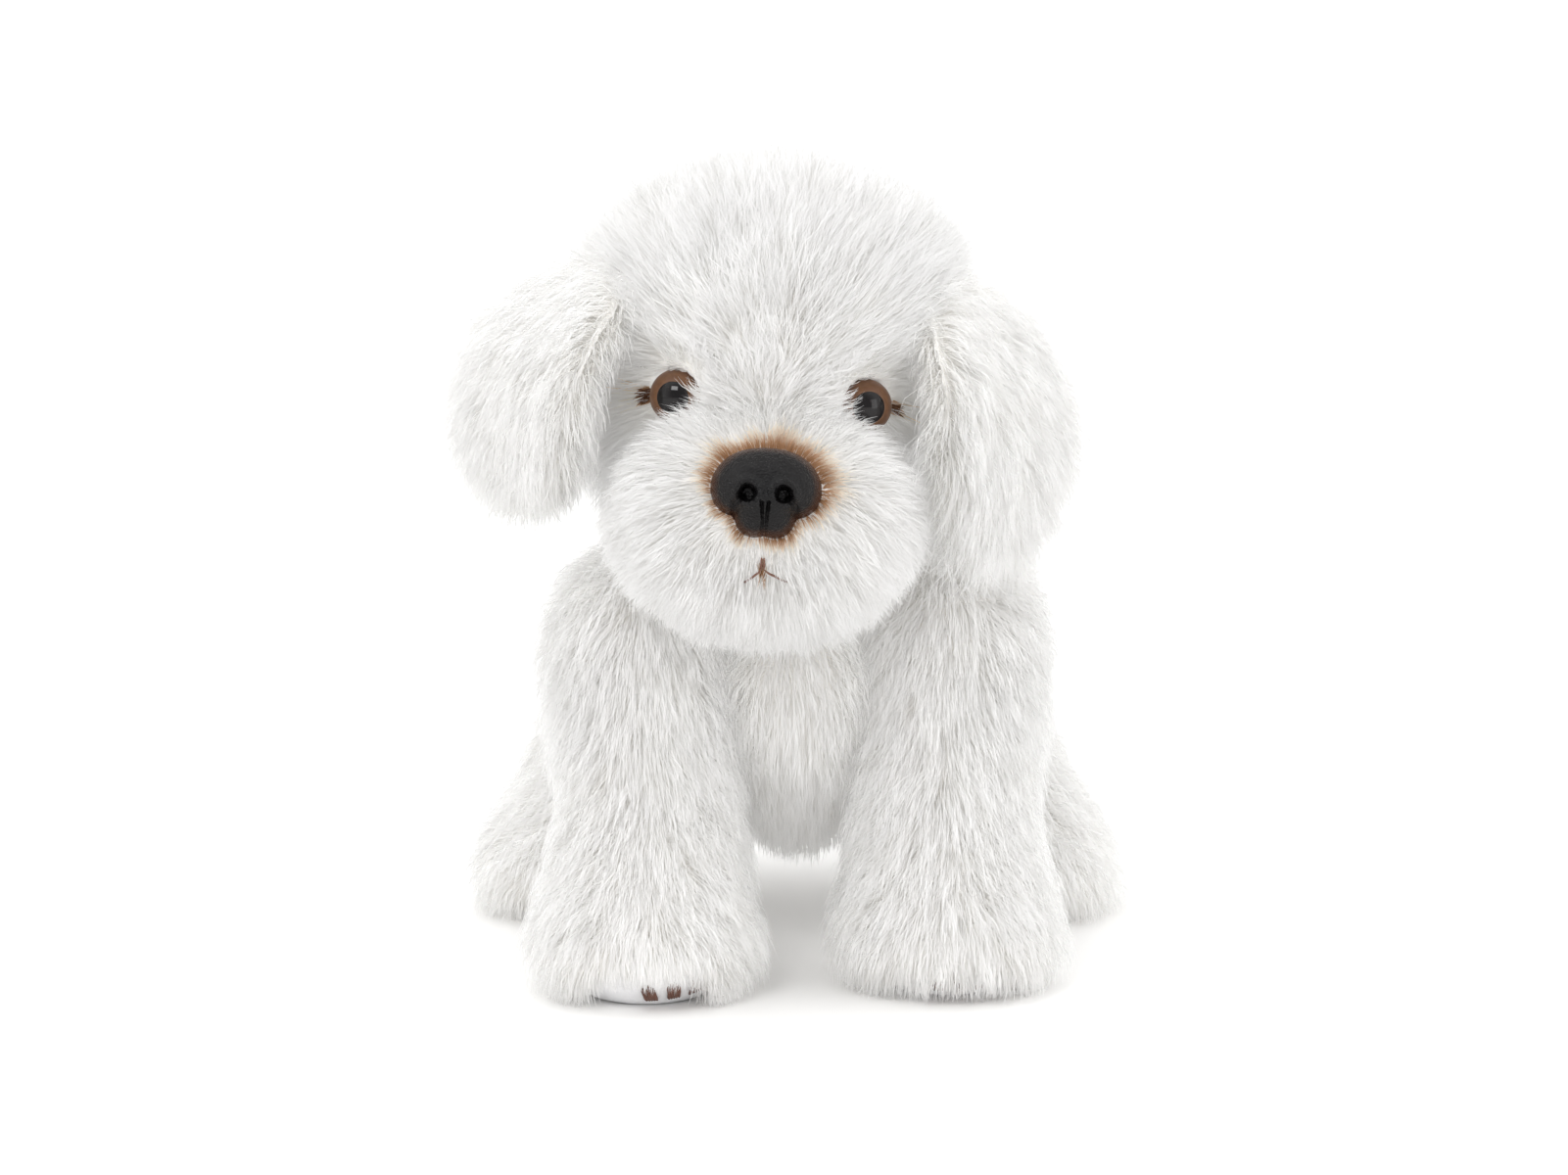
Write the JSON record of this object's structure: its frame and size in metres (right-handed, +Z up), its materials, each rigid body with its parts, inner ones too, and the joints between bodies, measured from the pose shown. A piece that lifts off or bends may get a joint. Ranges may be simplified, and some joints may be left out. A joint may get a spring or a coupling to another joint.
{
  "type": "plush puppy",
  "caption": "Fluffy white plush puppy standing on soft legs, with a leaning head, floppy ears, plastic eyes and nose.",
  "frame": {"origin": "middle of the box's bottom face, on the surface that the soles stand on", "axes": "+Z up, -Y the way the puppy faces, +X to the puppy's own left"},
  "size_m": [0.1442, 0.172, 0.1797],
  "materials": {
    "white_pile": "long brushed white pile on a knitted backing",
    "short_pile": "short smooth white pile",
    "fibre_fill": "loose polyester fibre",
    "pellet_bag": "thin woven bag of plastic pellets",
    "white_thread": "spun thread",
    "brown_thread": "spun thread",
    "eye_plastic": "polished dome with a satin brown rim",
    "nose_plastic": "moulded with a fine leather grain",
    "washer_plastic": "moulded"
  },
  "bodies": {
    "torso": {"torso_skin": "white_pile", "torso_stuffing": "fibre_fill", "belly_pellet_pouch": "pellet_bag", "belly_closing_stitches": "white_thread"},
    "neck": {"neck_stuffing": "fibre_fill"},
    "head": {"head_skin": "white_pile", "head_stuffing": "fibre_fill", "muzzle_skin": "white_pile", "muzzle_stuffing": "fibre_fill", "eye_left": "eye_plastic", "eye_right": "eye_plastic", "eye_washer_left": "washer_plastic", "eye_washer_right": "washer_plastic", "nose": "nose_plastic", "nose_washer": "washer_plastic", "mouth_stitches": "brown_thread"},
    "tail": {"tail_skin": "white_pile", "tail_stuffing": "fibre_fill"},
    "ear_left": {"ear_outer_left": "white_pile", "ear_lining_left": "short_pile"},
    "front_leg_left": {"front_leg_skin_left": "white_pile", "front_leg_stuffing_left": "fibre_fill", "front_sole_left": "short_pile", "front_pellet_pouch_left": "pellet_bag", "claw_stitches_left": "brown_thread"},
    "hind_leg_left": {"hind_leg_skin_left": "white_pile", "hind_leg_stuffing_left": "fibre_fill", "hind_sole_left": "short_pile", "hind_pellet_pouch_left": "pellet_bag"},
    "ear_right": {"ear_outer_right": "white_pile", "ear_lining_right": "short_pile"},
    "front_leg_right": {"front_leg_skin_right": "white_pile", "front_leg_stuffing_right": "fibre_fill", "front_sole_right": "short_pile", "front_pellet_pouch_right": "pellet_bag", "claw_stitches_right": "brown_thread"},
    "hind_leg_right": {"hind_leg_skin_right": "white_pile", "hind_leg_stuffing_right": "fibre_fill", "hind_sole_right": "short_pile", "hind_pellet_pouch_right": "pellet_bag"}
  },
  "joints": [
    {"name": "head_turn", "type": "hinge", "parent": "torso", "child": "neck", "pos_m": [-0.00637, -0.01703, 0.103], "axis": [0, 0, 1], "range_deg": [-25, 25], "stiffness_Nm_per_rad": 1.2},
    {"name": "head_nod", "type": "hinge", "parent": "neck", "child": "head", "pos_m": [-0.00637, -0.01703, 0.103], "axis": [1, 0, 0], "range_deg": [-15, 8], "stiffness_Nm_per_rad": 1.2},
    {"name": "ear_lift_left", "type": "hinge", "parent": "head", "child": "ear_left", "pos_m": [0.03146, -0.03303, 0.15609], "axis": [-0.5728, -0.8192, 0.03], "range_deg": [0, 90]},
    {"name": "ear_lift_right", "type": "hinge", "parent": "head", "child": "ear_right", "pos_m": [-0.03844, -0.03303, 0.15976], "axis": [-0.5728, 0.8192, 0.03], "range_deg": [0, 90]},
    {"name": "front_leg_swing_left", "type": "hinge", "parent": "torso", "child": "front_leg_left", "pos_m": [0.03463, -0.02403, 0.078], "axis": [1, 0, 0], "range_deg": [-35, 8], "stiffness_Nm_per_rad": 1.2},
    {"name": "front_leg_swing_right", "type": "hinge", "parent": "torso", "child": "front_leg_right", "pos_m": [-0.03237, -0.02403, 0.078], "axis": [1, 0, 0], "range_deg": [-35, 8], "stiffness_Nm_per_rad": 1.2},
    {"name": "hind_leg_swing_left", "type": "hinge", "parent": "torso", "child": "hind_leg_left", "pos_m": [0.03813, 0.05497, 0.04], "axis": [1, 0, 0], "range_deg": [-8, 12], "stiffness_Nm_per_rad": 1.2},
    {"name": "hind_leg_swing_right", "type": "hinge", "parent": "torso", "child": "hind_leg_right", "pos_m": [-0.03587, 0.05497, 0.04], "axis": [1, 0, 0], "range_deg": [-8, 12], "stiffness_Nm_per_rad": 1.2},
    {"name": "tail_wag", "type": "hinge", "parent": "torso", "child": "tail", "pos_m": [0.00113, 0.07397, 0.078], "axis": [0, 1, 0], "range_deg": [-18, 18], "stiffness_Nm_per_rad": 0.05}
  ]
}
